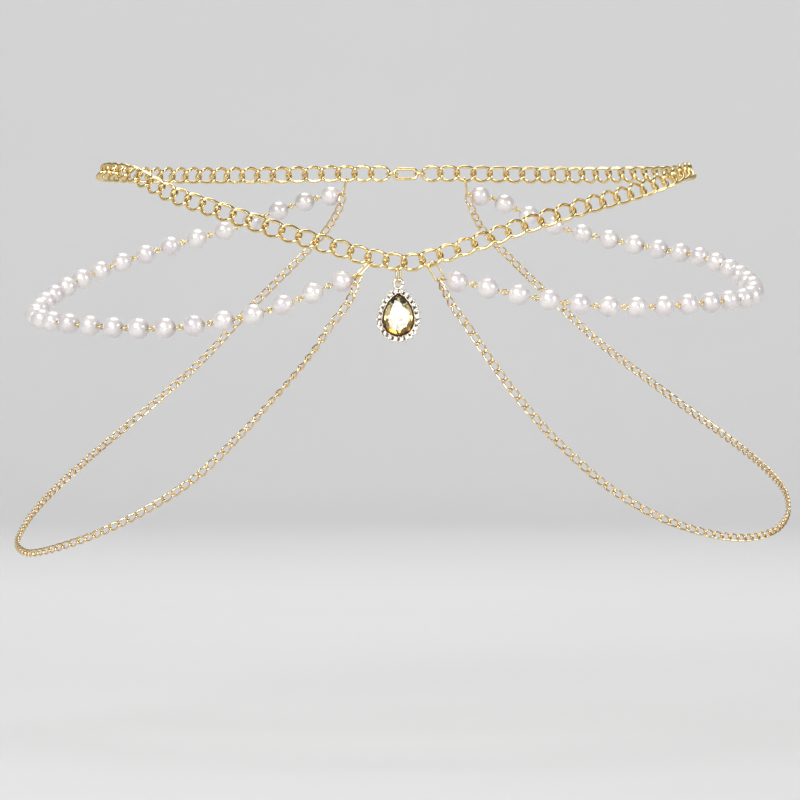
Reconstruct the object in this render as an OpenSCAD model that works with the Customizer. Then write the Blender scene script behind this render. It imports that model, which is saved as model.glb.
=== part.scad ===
// Worn waist chain: a flat curb chain round the waist, two festoons of pearls and two fine
// curb chains that drape over the hips, and a pear-shaped halo pendant at the front.
// Millimetres, +Z up, front towards -Y, origin at the centre of the waist opening.

/* [Worn size] */
// Width of the worn chain across the hips
worn_w = 365; // [361:1:369]
// Depth of the worn chain from front to back
worn_d = 232; // [229:1:235]
// Height of the worn chain from its lowest drape to its top
worn_h = 188; // [186:1:190]

/* [Main chain] */
// Diameter of the wire of a main link
link_wire = 1.5; // [1.4:0.05:1.6]
// Outer length of a main link
link_l = 11.6; // [11.4:0.1:12.2]
// Outer width of a main link
link_w = 8.6; // [8.2:0.1:9.2]
// Play where two main links hold each other
link_play = 0.28; // [0.24:0.01:0.32]

/* [Pearls] */
// Diameter of a pearl
pearl_d = 9.9; // [9:0.1:10]
// Diameter of the hole drilled through a pearl
pearl_bore = 1.1; // [1:0.05:1.3]
// Diameter of the wire of an eye
pin_wire = 0.7; // [0.6:0.05:0.75]
// Diameter of the pin's shaft inside the pearl
pin_shaft = 0.6; // [0.5:0.05:0.6]
// Outer diameter of an eye at the end of a pin
eye_d = 2.9; // [2.8:0.05:3]
// Length of bare wire between a pearl and an eye
pin_neck = 0.1; // [0.05:0.05:0.3]
// Play where two eyes hold each other
eye_play = 0.16; // [0.14:0.01:0.2]

/* [Drape chains] */
// Diameter of the round bar that stands for the fine links between the two end links
drape_d = 3.2; // [2.8:0.1:3.4]
// Diameter of the wire of a fine link
fine_wire = 0.9; // [0.8:0.05:0.95]
// Outer length of a fine link
fine_l = 7; // [6.8:0.1:7.4]
// Outer width of a fine link
fine_w = 3.9; // [3.7:0.1:4.2]
// Room between a jump ring and the end of the fine link that it holds
fine_play = 0.55; // [0.5:0.05:0.7]

/* [Rings and clasp] */
// Diameter of the wire of the jump rings and the bail
ring_wire = 0.9; // [0.8:0.05:0.95]
// Centreline radius of the round ends of the long jump rings
ring_r = 2.3; // [2.2:0.05:2.4]
// Outer length of a long jump ring
ring_l = 10.9; // [10.5:0.1:11.5]
// Play of a jump ring round what it holds
ring_play = 0.15; // [0.12:0.01:0.2]
// Wire of the two round rings at the clasp
clasp_ring_wire = 1.1; // [1:0.05:1.2]
// Outer diameter of the two round rings at the clasp
clasp_ring_d = 6.4; // [6.2:0.1:6.8]
// Length of the clasp
clasp_l = 13; // [12:0.5:14]
// Width of the clasp
clasp_w = 6.4; // [6:0.1:7]
// Width and thickness of the clasp's closed rim
clasp_rim = 1.6; // [1.5:0.05:1.7]

/* [Bail] */
// Centreline radius of the bail's round ends
bail_r = 2; // [1.95:0.05:2.1]
// Distance from the main chain's wire to the lowest point of the bail's centreline
bail_drop = 5.9; // [5.7:0.1:6.6]
// Angle of the bail from square across the chain
bail_turn = 25; // [20:1:28]

/* [Pendant] */
// Radius of the round end of the pear stone
stone_r = 6.6; // [6:0.1:7]
// Height of the tip's centre above the round end's centre
stone_h = 11.3; // [10.5:0.1:12]
// Radius of the stone's blunt tip
stone_tip_r = 0.35; // [0.3:0.05:0.5]
// Height of the crown above the girdle
crown_h = 1.7; // [1.4:0.1:2]
// Depth of the pavilion under the girdle
pavilion_h = 2.9; // [2.4:0.1:3]
// Height of the girdle
girdle_h = 0.2; // [0.15:0.05:0.3]
// Gap between the pear stone and the halo
halo_gap = 0.6; // [0.5:0.05:0.8]
// Width of the halo's base
halo_w = 2.6; // [2.5:0.05:2.8]
// Thickness of the halo's base
halo_t = 1.4; // [1.2:0.05:1.5]
// Number of stones in the halo
halo_count = 22; // [20:2:22]
// Diameter of a halo stone
halo_stone_d = 2.25; // [2.1:0.05:2.3]
// Diameter of an outer prong
prong_d = 0.65; // [0.6:0.05:0.7]
// Height of the outer prongs above the halo's base
prong_h = 0.75; // [0.6:0.05:0.9]
// Diameter of an inner prong
bead_d = 0.6; // [0.5:0.05:0.65]
// Thickness of the plate under the halo that carries the pear stone's seat
plate_t = 0.8; // [0.6:0.1:1]
// Height of the seat's wall above that plate
seat_h = 0.65; // [0.5:0.05:0.8]
// Outer diameter of the ring on top of the pendant
loop_d = 5.4; // [5.2:0.1:5.6]
// Diameter of that ring's wire
loop_wire = 1.35; // [1.3:0.05:1.4]

/* [Hidden] */
$fn = 32;
gold = [0.86, 0.68, 0.36];
pale_gold = [0.88, 0.76, 0.55];
pearl_white = [0.93, 0.9, 0.9];
clear_stone = [0.92, 0.93, 0.95];
champagne = [0.85, 0.7, 0.45];

// Route of the main chain from the clasp round the left side: x, y, z and the lean of the links
main_route = [
    [2.8, 104, 6, 6], [-30, 102, 6, 7], [-60, 95, 5, 10], [-89, 80, 4, 15], [-115, 57, 3, 21],
    [-133, 30, 2, 26], [-139.5, 0, 1, 27], [-134.5, -25, 0.5, 25], [-122, -45, -2.5, 20],
    [-104, -62, -12, 14], [-82, -75, -20, 10], [-56, -84.5, -29, 8], [-28, -90, -37.5, 6],
    [-12, -91.6, -42, 6], [4, -92, -44, 6], [20, -91, -40, 6], [38, -88, -33.8, 7],
    [54, -84, -27.8, 8], [80, -74, -19, 10], [104, -58.5, -11.5, 14], [120.5, -42, -5.2, 20],
    [131.5, -22, 0.5, 25], [135.8, 0, 1.5, 27], [129.5, 30, 2, 26], [112, 57, 3, 21],
    [87, 80, 4, 15], [59, 95, 5, 10], [30, 102, 6, 7], [2.8, 104, 6, 6]];
// Routes of the pearls and of the drape chains, between their front ring and their back ring
pearl_route_left = [
    [-34.5, -93, -55.5], [-49, -93.5, -62], [-63, -91, -66.8],
    [-83, -85.5, -70.8], [-103, -78, -73.2], [-125.5, -65, -73], [-145, -50, -71.3],
    [-158.5, -35, -69.7], [-168, -16, -67.7], [-172, 6, -65.5], [-171, 28, -61],
    [-166, 52, -54.5], [-155, 76, -46.5], [-136, 97, -37.5], [-111, 112, -28.5],
    [-84, 119, -20.5], [-59, 118.5, -11], [-44, 113, -6]];
pearl_route_right = [
    [33, -93, -54], [48, -93.5, -57.5], [69.5, -89, -61.2],
    [90, -82.5, -63.4], [110.5, -73, -63.6], [130, -61, -62.2], [148, -44, -60.2],
    [159, -28, -58.6], [165, -10, -56.5], [167, 10, -52.5], [165, 32, -48],
    [159, 56, -42], [147, 79, -35.5], [129, 100, -31.5], [105, 115.5, -26],
    [80, 122.5, -20], [60.5, 119.5, -12], [47, 112.5, -6]];
drape_route_left = [
    [-21, -95.5, -57.5], [-25, -97.8, -65], [-31, -97.5, -72.5],
    [-38, -98, -83], [-48, -98.8, -95.6], [-59, -98.5, -108], [-70, -97, -120],
    [-91, -92.5, -140], [-113, -85, -154.5], [-135.5, -72.5, -165.6], [-156, -55, -173],
    [-171, -34, -176.4], [-179, -8, -173.5], [-179.5, 20, -167.5], [-175, 48, -158],
    [-164, 75, -145], [-146, 99, -128], [-122, 117, -107], [-97, 127, -84],
    [-75, 130, -60], [-55, 127, -40], [-38, 117.5, -23], [-30.5, 107.5, -12]];
drape_route_right = [
    [20.5, -94.5, -58], [24.5, -97.8, -65], [31, -97.5, -74],
    [38, -98, -84.5], [48, -98.8, -98.5], [59, -98.5, -112], [70, -97, -124],
    [91, -92.5, -142.8], [113, -85, -156.6], [135.5, -72.8, -164.9], [156, -56, -168.4],
    [172, -36, -166], [180.5, -14, -159], [182, 12, -150], [178, 42, -141.5],
    [167, 71, -130], [149, 96, -115.5], [125, 115, -97], [99, 126, -76.5],
    [76, 129, -55], [58, 126, -38], [42, 117, -22], [36, 106.8, -12]];

// The routes are drawn for a chain of this width, depth and height, and fitted to the worn size
drawn_size = [365, 232, 188];
function fitted(route) = [for (p = route)
    [p.x * worn_w / drawn_size.x, p.y * worn_d / drawn_size.y, p.z * worn_h / drawn_size.z,
        each len(p) > 3 ? [p[3]] : []]];

// Steps between two points of a route, and the spacing of the rings along a drape's bar
route_steps = 12;
drape_ring_gap = 14;
link_sides = 5;
link_steps = 12;
drape_sides = 8;
// Degrees by which the corners of a link are drawn towards its two ends
link_gather = 7;

function unit(v) = v / norm(v);
function square_to(v, run) = unit(v - (v * run) * run);
function xyz(p) = [p.x, p.y, p.z];

// A smooth curve through the points of a route
function smooth(p, k) = [
    for (i = [0 : len(p) - 2], j = [0 : k - 1])
        let (a = p[max(i - 1, 0)], b = p[i], c = p[i + 1], d = p[min(i + 2, len(p) - 1)], t = j / k)
            b + (c - a) * t / 2 + (2 * a - 5 * b + 4 * c - d) * t * t / 2
                + (3 * b - a - 3 * c + d) * t * t * t / 2,
    p[len(p) - 1]];
function run_of(q) = [
    for (i = 0, s = 0; i < len(q); s = s + (i + 1 < len(q) ? norm(xyz(q[i + 1]) - xyz(q[i])) : 0), i = i + 1) s];
// A curve as its length and one lookup table for each column
function curve_of(route) =
    let (q = smooth(route, route_steps), s = run_of(q))
        [s[len(s) - 1], [for (c = [0 : len(q[0]) - 1]) [for (i = [0 : len(q) - 1]) [s[i], q[i][c]]]]];
function on_curve(curve, s) = [for (table = curve[1]) lookup(s, table)];
// The point at distance s, carried on straight past either end
function point_at(curve, s) =
    let (inside = min(max(s, 0), curve[0]), ahead = min(inside + 0.5, curve[0]), behind = ahead - 0.5)
        xyz(on_curve(curve, inside))
            + (s - inside) * unit(xyz(on_curve(curve, ahead)) - xyz(on_curve(curve, behind)));

// Main chain: its links lie flat and each one is twisted a little, so that its two ends pass
// under and over its neighbours
main_curve = curve_of(fitted(main_route));
link_a = (link_l - link_wire) / 2;
link_b = (link_w - link_wire) / 2;
link_tight = link_l - 2 * link_wire - link_play;
clasp_ring_r = (clasp_ring_d - clasp_ring_wire) / 2;
clasp_hold = (link_wire + clasp_ring_wire) / 2 + 2 * ring_play;
rim_hold = (clasp_rim + clasp_ring_wire) / 2 + ring_play;
clasp_half = clasp_l / 2 - clasp_rim / 2;
clasp_reach = clasp_half + 2 * clasp_ring_r - rim_hold - clasp_hold + link_a;
link_count = 1 + ceil((main_curve[0] - 2 * clasp_reach) / link_tight);
link_pitch = (main_curve[0] - 2 * clasp_reach) / (link_count - 1);
link_cross = acos(link_tight / 2 / link_a);
// Clear height between two links where they cross, then how far the twist lifts a link's wire
cross_play = 3.5 * link_play;
link_lift = (link_wire + cross_play) / 2 / sin(2 * link_cross);

// Frame of the chain at distance s: its place, along, across and outwards
function main_frame(s) =
    let (row = on_curve(main_curve, s),
        along = unit(point_at(main_curve, s + link_pitch / 2) - point_at(main_curve, s - link_pitch / 2)),
        level = unit(cross(along, [0, 0, 1])),
        rise = cross(level, along),
        out = cos(row[3]) * level + sin(row[3]) * rise)
            [xyz(row), along, cross(out, along), out];
function link_frame(i) = main_frame(clasp_reach + i * link_pitch);
// A point of an oval link's twisted centreline, in its own frame and in that of the part
function oval(a, b, lift, t) = [a * cos(t), b * sin(t), -lift * sin(2 * t)];
function set_in(frame, p) = frame[0] + p.x * frame[1] + p.y * frame[2] + p.z * frame[3];
function link_point(i, t) = set_in(link_frame(i), oval(link_a, link_b, link_lift, t));

// Angles round a link, closer together at its two ends
function link_turn(i) = 360 * i / link_steps - link_gather * sin(720 * i / link_steps);
// Corners round a closed wire whose frame is given, and the triangles between them
function wire_corners(frame, a, b, lift, wire) = [
    for (i = [0 : link_steps - 1])
        let (t = link_turn(i),
            here = oval(a, b, lift, t),
            run = unit(oval(a, b, lift, t + 1) - oval(a, b, lift, t - 1)),
            side = unit(cross(run, [0, 0, 1])),
            rise = cross(side, run))
            for (j = [0 : link_sides - 1])
                set_in(frame, here + wire / 2 * (cos(360 * j / link_sides) * side
                    + sin(360 * j / link_sides) * rise))];
function wire_faces(first) = [
    for (i = [0 : link_steps - 1], j = [0 : link_sides - 1])
        let (p = first + i * link_sides,
            q = first + (i + 1) % link_steps * link_sides,
            k = (j + 1) % link_sides)
            each [[p + j, p + k, q + k], [p + j, q + k, q + j]]];
link_corners = link_steps * link_sides;

module main_chain() {
    color(gold)
        polyhedron(
            points = [for (i = [0 : link_count - 1])
                each wire_corners(link_frame(i), link_a, link_b, link_lift, link_wire)],
            faces = [for (i = [0 : link_count - 1]) each wire_faces(i * link_corners)]);
}

// Places a child so that its axes follow three given directions
module set_axes(at, x, y, z) {
    multmatrix([[x.x, y.x, z.x, at.x], [x.y, y.y, z.y, at.y], [x.z, y.z, z.z, at.z], [0, 0, 0, 1]])
        children();
}

// A round wire ring, whole or half, in the XY plane
module round_wire(r, wire, turn = 360) {
    rotate_extrude(angle = turn)
        translate([r, 0])
            circle(d = wire);
}

// A long ring with round ends: its two end centres lie on the X axis, length apart
module long_ring(length, r, wire) {
    for (side = [-1, 1])
        translate([0, side * r, 0])
            rotate([0, 90, 0])
                cylinder(d = wire, h = length);
    rotate([0, 0, 90])
        round_wire(r, wire, 180);
    translate([length, 0, 0])
        rotate([0, 0, -90])
            round_wire(r, wire, 180);
}

// Clasp at the back: one plain closed piece that the two round rings pass through
clasp_along = unit(point_at(main_curve, clasp_half) - point_at(main_curve, main_curve[0] - clasp_half));
clasp_out = square_to([0, 1, 0], clasp_along);
clasp_at = point_at(main_curve, 0);

module clasp() {
    color(gold)
        set_axes(clasp_at, clasp_along, cross(clasp_out, clasp_along), clasp_out)
            translate([-(clasp_l - clasp_w) / 2, 0, 0])
                long_ring(clasp_l - clasp_w, (clasp_w - clasp_rim) / 2, clasp_rim);
}

// The ring's centre lies on the line from the clasp's rim to the near end of the first link
module clasp_ring(side) {
    frame = link_frame(side > 0 ? 0 : link_count - 1);
    rim = clasp_at + side * (clasp_half - rim_hold) * clasp_along;
    link_end = frame[0] - side * (link_a - clasp_hold) * frame[1];
    along = unit(link_end - rim);
    out = square_to(clasp_out, along);
    color(gold)
        set_axes((rim + link_end) / 2, along, -out, cross(out, along))
            round_wire(clasp_ring_r, clasp_ring_wire);
}

// Jump rings: the main link and the angle on it where each one hangs, the way it hangs, the way it
// is wide, and the angles at which the pearls and the drape chain hang in its lower end
LINK = 0;
ANGLE = 1;
HANG = 2;
SPREAD = 3;
PEARLS = 4;
DRAPE = 5;
front_link = floor(link_count / 2);
front_left = [front_link - 1, -130, [-0.68, 0, -0.73], [0.27, -0.93, -0.22], -10, 45];
front_right = [front_link + 2, -96, [0.5, 0.25, -0.82], [0.7, 0.4, 0.55], 30, -30];
back_left = [2, -90, [-0.2, 0.35, -0.9], [0, 0.93, 0.36], 45, -18];
back_right = [link_count - 3, -90, [0.2, 0.35, -0.9], [0, 0.93, 0.36], 45, -18];
ring_span = ring_l - ring_wire - 2 * ring_r;
ring_seat = (link_wire + ring_wire) / 2 + 4 * ring_play;

function ring_hang(ring) = unit(ring[HANG]);
function ring_spread(ring) = square_to(ring[SPREAD], ring_hang(ring));
function ring_top(ring) =
    link_point(ring[LINK], ring[ANGLE]) + (ring_r - ring_seat) * ring_hang(ring);
// Place and direction of the ring's wire at an angle from the middle of its lower end
function foot_at(ring, turn) =
    ring_top(ring) + (ring_span + ring_r * cos(turn)) * ring_hang(ring)
        + ring_r * sin(turn) * ring_spread(ring);
function foot_run(ring, turn) = cos(turn) * ring_spread(ring) - sin(turn) * ring_hang(ring);

module jump_ring(ring) {
    hang = ring_hang(ring);
    spread = ring_spread(ring);
    color(gold)
        set_axes(ring_top(ring), hang, spread, cross(hang, spread))
            long_ring(ring_span, ring_r, ring_wire);
}

// Strands: a curve between two rings and the way that each ring's wire runs at its end
function strand_of(route, front, back, column) = [
    curve_of(concat([foot_at(front, front[column])], fitted(route), [foot_at(back, back[column])])),
    foot_run(front, front[column]),
    foot_run(back, back[column])];

// Pearls: each is drilled and sits on an eye pin; the eyes of neighbours hold each other
eye_r = (eye_d - pin_wire) / 2;
eye_hold = 2 * eye_r - pin_wire - eye_play;
pearl_step_min = pearl_d + 2 * pin_neck + eye_d + eye_hold;
strand_over = (ring_wire + eye_play) / 2;
pearl_strand_left = strand_of(pearl_route_left, front_left, back_left, PEARLS);
pearl_strand_right = strand_of(pearl_route_right, front_right, back_right, PEARLS);
function pearl_count(curve) = floor((curve[0] + 2 * strand_over) / pearl_step_min);
function pearl_node(curve, i) =
    point_at(curve, -strand_over + i * (curve[0] + 2 * strand_over) / pearl_count(curve));

module pearls(strand) {
    count = pearl_count(strand[0]);
    color(pearl_white)
        for (i = [0 : count - 1]) {
            from = pearl_node(strand[0], i);
            to = pearl_node(strand[0], i + 1);
            run = unit(to - from);
            level = unit(cross(run, [0, 0, 1]));
            set_axes((from + to) / 2, level, cross(run, level), run)
                difference() {
                    sphere(d = pearl_d);
                    cylinder(d = pearl_bore, h = 2 * pearl_d, center = true);
                }
        }
}

// An eye whose hole runs along the given way
module pin_eye(at, way, run) {
    set_axes(at, run, cross(way, run), way)
        round_wire(eye_r, pin_wire);
}

// On the left the eye away from the front ring faces outwards, and on the right the other one
module pearl_pins(strand, far_out) {
    count = pearl_count(strand[0]);
    color(pale_gold)
        for (i = [0 : count - 1]) {
            from = pearl_node(strand[0], i);
            to = pearl_node(strand[0], i + 1);
            run = unit(to - from);
            level = unit(cross(run, [0, 0, 1]));
            rise = cross(run, level);
            near_way = i == 0 ? square_to(strand[1], run) : far_out ? rise : level;
            far_way = i == count - 1 ? square_to(strand[2], run) : far_out ? level : rise;
            pin_l = norm(to - from) - eye_hold - 2 * eye_r;
            pin_eye(from + eye_hold / 2 * run, near_way, run);
            pin_eye(to - eye_hold / 2 * run, far_way, run);
            set_axes((from + to) / 2, level, rise, run)
                cylinder(d = pin_shaft, h = pin_l, center = true);
        }
}

// Drape chains: a round bar along the route, with one real link at each end
fine_a = (fine_l - fine_wire) / 2;
fine_b = (fine_w - fine_wire) / 2;
fine_lift = fine_wire / 2;
fine_first = fine_a - (ring_wire + fine_wire) / 2 - fine_play;
bar_first = fine_first + fine_a + fine_wire / 2 + fine_play;
drape_strand_left = strand_of(drape_route_left, front_left, back_left, DRAPE);
drape_strand_right = strand_of(drape_route_right, front_right, back_right, DRAPE);

function drape_frame(curve, s, way) =
    let (along = unit(point_at(curve, s + fine_a) - point_at(curve, s - fine_a)),
        out = square_to(way, along))
            [point_at(curve, s), along, cross(out, along), out];
function bar_ring(frame) = [
    for (j = [0 : drape_sides - 1])
        set_in(frame, drape_d / 2 * [0, cos(360 * j / drape_sides), sin(360 * j / drape_sides)])];

module drape_chain(strand) {
    curve = strand[0];
    bar_length = curve[0] - 2 * bar_first;
    rings = round(bar_length / drape_ring_gap);
    bar_points = [
        for (i = [0 : rings])
            each bar_ring(drape_frame(curve, bar_first + i * bar_length / rings, [0, 0, 1]))];
    bar_sides = [
        for (i = [0 : rings - 1], j = [0 : drape_sides - 1])
            let (p = i * drape_sides, q = p + drape_sides, k = (j + 1) % drape_sides)
                each [[p + j, q + j, q + k], [p + j, q + k, p + k]]];
    first_end = [for (j = [0 : drape_sides - 1]) j];
    last_end = [for (j = [drape_sides - 1 : -1 : 0]) rings * drape_sides + j];
    ends = [
        drape_frame(curve, fine_first, strand[1]),
        drape_frame(curve, curve[0] - fine_first, strand[2])];
    color(gold)
        polyhedron(
            points = concat(bar_points,
                [for (frame = ends) each wire_corners(frame, fine_a, fine_b, fine_lift, fine_wire)]),
            faces = concat(bar_sides, [first_end, last_end],
                [for (i = [0, 1]) each wire_faces(len(bar_points) + i * link_corners)]));
}

// Bail: hangs on the lower wire of the front link, at the lower right of that link
bail_angle = -68;
// Drop from the wire's centre to the centre of the bail's upper round end
bail_seat = 0.4;
bail_top = link_point(front_link, bail_angle);
bail_along = [cos(bail_turn), -sin(bail_turn), 0];
bail_foot = bail_top - [0, 0, bail_drop];

module bail() {
    down = [0, 0, -1];
    color(gold)
        set_axes(bail_top + bail_seat * down, down, cross(bail_along, down), bail_along)
            long_ring(bail_drop - bail_seat - bail_r, bail_r, ring_wire);
}

// Pendant: drawn flat with its round end's centre at the origin, the tip along +Y and the front
// along +Z. Its outline is a chain of arcs, so each point is given by the angle of its normal.
loop_r = (loop_d - loop_wire) / 2;
halo_mid = halo_gap + halo_w / 2;
arc_r = (stone_h * stone_h + stone_r * stone_r - stone_tip_r * stone_tip_r) / 2 / (stone_r - stone_tip_r);
arc_shift = arc_r - stone_r;
tip_angle = atan2(stone_h, arc_shift);
function pear_point(phi, off) =
    let (p = phi < 0 || phi > 180 ? [0, 0, stone_r]
        : phi < tip_angle ? [-arc_shift, 0, arc_r]
        : phi < 180 - tip_angle ? [0, stone_h, stone_tip_r]
        : [arc_shift, 0, arc_r])
            [p.x + (p.z + off) * cos(phi), p.y + (p.z + off) * sin(phi)];
// The normal's angle at a share of the way round the line that runs off outside the stone
function pear_angle(share, off) =
    let (low = (stone_r + off) * 90, arc = (arc_r + off) * tip_angle,
        tip = (stone_tip_r + off) * (180 - 2 * tip_angle),
        way = share * (2 * low + 2 * arc + tip))
            way < low ? -90 + way / (stone_r + off)
            : way < low + arc ? (way - low) / (arc_r + off)
            : way < low + arc + tip ? tip_angle + (way - low - arc) / (stone_tip_r + off)
            : way < low + 2 * arc + tip ? 180 - tip_angle + (way - low - arc - tip) / (arc_r + off)
            : 180 + (way - low - 2 * arc - tip) / (stone_r + off);
pear_steps = 72;
// Outline at a distance off outside the stone, or at a share of its size
module pear_outline(off, share = 1) {
    polygon([for (i = [0 : pear_steps - 1]) share * pear_point(pear_angle(i / pear_steps, halo_mid), off)]);
}
module upright(bottom, top) {
    translate([0, 0, bottom])
        linear_extrude(top - bottom)
            children();
}

// Levels: the girdle's middle is at 0 and the front is up
halo_top = -0.2;
halo_bottom = halo_top - halo_t;
plate_lap = 0.2;
plate_top = halo_bottom + plate_lap;
halo_stone_z = 0.1;
seat_hole = 0.84;
seat_rim = 0.93;
seat_lap = 0.4;
bead_lap = bead_d / 4;
prong_tip = 0.25;
prong_sink = 0.7;
loop_sink = 1.15;
loop_y = stone_h + stone_tip_r + halo_gap + halo_w + loop_d / 2 - loop_sink;
pendant_z = halo_top - halo_t / 2;
pendant_at = bail_foot - [0, 0, loop_y + loop_r - (loop_wire + ring_wire) / 2 - 2 * ring_play];

module in_pendant() {
    translate(pendant_at)
        rotate([90, 0, 0])
            translate([0, 0, -pendant_z])
                children();
}
// Children at every place round the halo but those in the list skip
module at_halo(shift, off, skip = []) {
    for (i = [0 : halo_count - 1])
        if (len(search(i, skip)) == 0) {
            phi = pear_angle((i + shift) / halo_count, halo_mid);
            translate(pear_point(phi, off))
                rotate([0, 0, phi])
                    children();
        }
}
module prong(d, height) {
    translate([0, 0, halo_top - prong_sink])
        cylinder(d = d, h = prong_sink + height - prong_tip);
    translate([0, 0, halo_top + height - prong_tip])
        cylinder(d1 = d, d2 = d / 2, h = prong_tip);
}

module pendant_setting() {
    color(pale_gold)
        in_pendant()
            difference() {
                union() {
                    upright(halo_bottom, halo_top)
                        difference() {
                            pear_outline(halo_gap + halo_w);
                            pear_outline(halo_gap);
                        }
                    upright(plate_top - plate_t, plate_top)
                        difference() {
                            pear_outline(halo_gap + seat_lap);
                            pear_outline(0, seat_hole);
                        }
                    upright(plate_top - plate_t / 2, plate_top + seat_h)
                        difference() {
                            pear_outline(0, seat_rim);
                            pear_outline(0, seat_hole);
                        }
                    at_halo(0, halo_gap + halo_w, [halo_count / 2])
                        prong(prong_d, prong_h);
                    at_halo(0, halo_gap + bead_lap)
                        prong(bead_d, prong_h);
                    translate([0, loop_y, pendant_z])
                        round_wire(loop_r, loop_wire);
                }
                at_halo(0.5, halo_mid)
                    upright(halo_bottom - halo_t, halo_top + halo_t)
                        circle(d = halo_stone_d - seat_lap);
            }
}

// A round brilliant with an eight-sided table and eight main facets above and below. Its rows of
// corners are given by their radius, height and turn.
brilliant_table = 0.55;
brilliant_crown = 0.45;
brilliant_girdle = 0.08;
brilliant_depth = 0.85;
module halo_stone() {
    r = halo_stone_d / 2;
    rows = [[brilliant_table * r, brilliant_crown, 22.5], [r, brilliant_girdle, 0], [r, 0, 0]];
    points = concat(
        [for (row = rows, i = [0 : 7])
            let (turn = 45 * i + row[2]) [row[0] * cos(turn), row[0] * sin(turn), row[1]]],
        [[0, 0, -brilliant_depth]]);
    faces = concat(
        [[7, 6, 5, 4, 3, 2, 1, 0]],
        [for (i = [0 : 7]) let (k = (i + 1) % 8) each [[i, k, 8 + k], [i, 8 + k, 8 + i]]],
        [for (i = [0 : 7]) let (k = (i + 1) % 8) each [[8 + i, 8 + k, 16 + k], [8 + i, 16 + k, 16 + i]]],
        [for (i = [0 : 7]) let (k = (i + 1) % 8) [16 + i, 16 + k, 24]]);
    polyhedron(points = points, faces = faces);
}

module halo_stones() {
    color(clear_stone)
        in_pendant()
            at_halo(0.5, halo_mid)
                translate([0, 0, halo_stone_z])
                    halo_stone();
}

// Pear stone: a table, a crown of two rows of facets and a pavilion that ends in a point
pear_sides = 16;
pear_table = 0.55;
pear_star = 0.8;
pear_star_h = 0.62;
module pear_stone() {
    n = pear_sides;
    function row(share, z) = [for (i = [0 : n - 1])
        let (p = pear_point(pear_angle(i / n, halo_mid), 0)) [share * p.x, share * p.y, z]];
    points = concat(row(pear_table, crown_h), row(pear_star, pear_star_h * crown_h), row(1, girdle_h / 2),
        row(1, -girdle_h / 2), [[0, 0, -pavilion_h]]);
    faces = concat(
        [[for (i = [n - 1 : -1 : 0]) i]],
        [for (r = [0 : 2], i = [0 : n - 1]) let (k = (i + 1) % n, p = r * n, q = p + n)
            each [[p + i, p + k, q + k], [p + i, q + k, q + i]]],
        [for (i = [0 : n - 1]) [3 * n + i, 3 * n + (i + 1) % n, 4 * n]]);
    color(champagne)
        in_pendant()
            polyhedron(points = points, faces = faces);
}

main_chain();
clasp();
clasp_ring(1);  // clasp_ring_left
clasp_ring(-1);  // clasp_ring_right
jump_ring(front_left);  // front_ring_left
jump_ring(front_right);  // front_ring_right
jump_ring(back_left);  // back_ring_left
jump_ring(back_right);  // back_ring_right
pearls(pearl_strand_left);  // pearls_left
pearls(pearl_strand_right);  // pearls_right
pearl_pins(pearl_strand_left, true);  // pearl_pins_left
pearl_pins(pearl_strand_right, false);  // pearl_pins_right
drape_chain(drape_strand_left);  // drape_chain_left
drape_chain(drape_strand_right);  // drape_chain_right
bail();
pendant_setting();
halo_stones();
pear_stone();
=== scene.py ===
"""Looks of the worn waist chain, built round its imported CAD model. Metres, +Z up, front towards -Y."""

import math

import bpy
import numpy as np
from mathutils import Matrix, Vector


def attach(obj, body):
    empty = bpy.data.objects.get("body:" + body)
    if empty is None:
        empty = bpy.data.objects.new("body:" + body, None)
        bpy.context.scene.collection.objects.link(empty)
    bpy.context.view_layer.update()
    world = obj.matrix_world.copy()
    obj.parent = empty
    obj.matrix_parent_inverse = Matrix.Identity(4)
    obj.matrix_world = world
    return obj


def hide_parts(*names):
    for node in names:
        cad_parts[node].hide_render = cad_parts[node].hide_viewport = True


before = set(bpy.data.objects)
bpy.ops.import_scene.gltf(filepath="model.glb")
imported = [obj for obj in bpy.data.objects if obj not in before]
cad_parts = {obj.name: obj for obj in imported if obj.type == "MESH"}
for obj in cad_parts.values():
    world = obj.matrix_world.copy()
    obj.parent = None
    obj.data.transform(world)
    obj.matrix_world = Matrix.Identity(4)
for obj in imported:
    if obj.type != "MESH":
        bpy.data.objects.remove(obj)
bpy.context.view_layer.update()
scene = bpy.context.scene
scene.view_settings.view_transform = "Standard"

# Main chain: ninety oval links of brass wire, soldered shut and plated with polished yellow gold.
# Each link is twisted, so that the chain lies flat round the waist while the two ends of a link
# pass under and over its neighbours.
MM = 0.001
LINK_WIRE = 1.5 * MM
LINK_A = 5.05 * MM
LINK_B = 3.55 * MM
LINK_PLAY = 0.28 * MM
LINK_COUNT = 90
CLASP_REACH = 12.95 * MM
ROUTE_STEPS = 12
MAIN_ROUTE = [
    [2.8, 104, 6, 6], [-30, 102, 6, 7], [-60, 95, 5, 10], [-89, 80, 4, 15], [-115, 57, 3, 21],
    [-133, 30, 2, 26], [-139.5, 0, 1, 27], [-134.5, -25, 0.5, 25], [-122, -45, -2.5, 20],
    [-104, -62, -12, 14], [-82, -75, -20, 10], [-56, -84.5, -29, 8], [-28, -90, -37.5, 6],
    [-12, -91.6, -42, 6], [4, -92, -44, 6], [20, -91, -40, 6], [38, -88, -33.8, 7],
    [54, -84, -27.8, 8], [80, -74, -19, 10], [104, -58.5, -11.5, 14], [120.5, -42, -5.2, 20],
    [131.5, -22, 0.5, 25], [135.8, 0, 1.5, 27], [129.5, 30, 2, 26], [112, 57, 3, 21],
    [87, 80, 4, 15], [59, 95, 5, 10], [30, 102, 6, 7], [2.8, 104, 6, 6]]

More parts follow.
